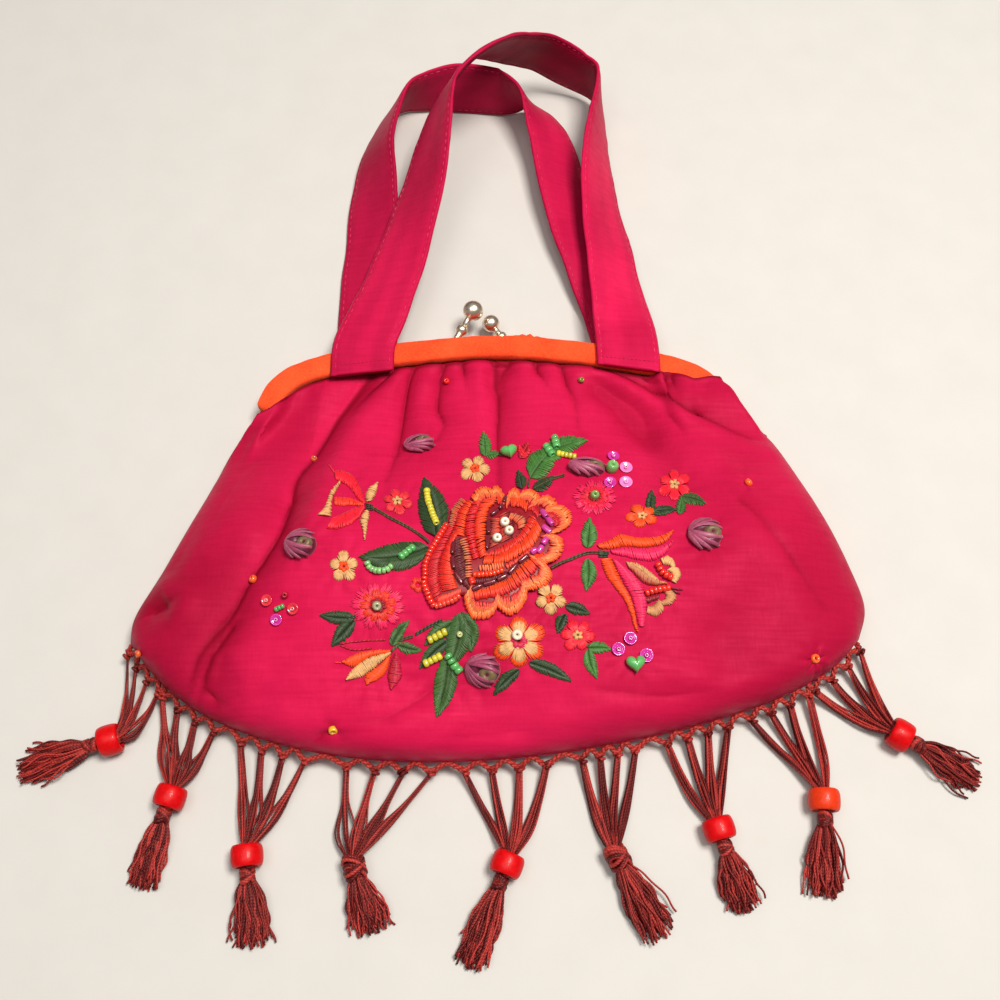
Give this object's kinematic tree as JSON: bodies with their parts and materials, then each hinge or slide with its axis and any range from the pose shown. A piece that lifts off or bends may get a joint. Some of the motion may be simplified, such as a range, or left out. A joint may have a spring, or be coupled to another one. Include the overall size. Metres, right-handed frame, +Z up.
{
  "type": "beaded evening bag",
  "caption": "Soft frame bag in gathered crimson silk with floral embroidery, ball clasp, ribbon handles and a tasselled cord fringe, lying on its back.",
  "frame": {"origin": "on the surface that carries the bag, under the flat of the back panel, at the middle of the bag's width", "axes": "+X to the bag's right as it is seen from the front, +Y from the fringe to the handles, +Z up out of the front"},
  "size_m": [0.2808, 0.3158, 0.0439],
  "materials": {
    "silk": "crimson silk with a soft sheen",
    "ribbon": "crimson satin ribbon, stitched edges",
    "felt": "matt orange felt over the frame",
    "clasp_metal": "polished pale gilt",
    "cord": "twisted burgundy cord",
    "red_bead": "glossy red",
    "orange_bead": "glossy orange"
  },
  "bodies": {
    "root": {"front_panel": "silk", "back_panel_left": "silk", "back_panel_right": "silk", "handle_front": "ribbon", "handle_back": "ribbon", "frame_front": "felt", "frame_back": "felt", "hinge_left": "clasp_metal", "hinge_right": "clasp_metal", "clasp_front": "clasp_metal", "clasp_back": "clasp_metal", "fringe_header": "cord", "tassel_1": "cord", "tassel_2": "cord", "tassel_3": "cord", "tassel_4": "cord", "tassel_5": "cord", "tassel_6": "cord", "tassel_7": "cord", "tassel_8": "cord", "tassel_9": "cord", "bead_1": "red_bead", "bead_2": "red_bead", "bead_3": "red_bead", "bead_5": "red_bead", "bead_7": "red_bead", "bead_9": "red_bead", "bead_8": "orange_bead"}
  },
  "joints": []
}
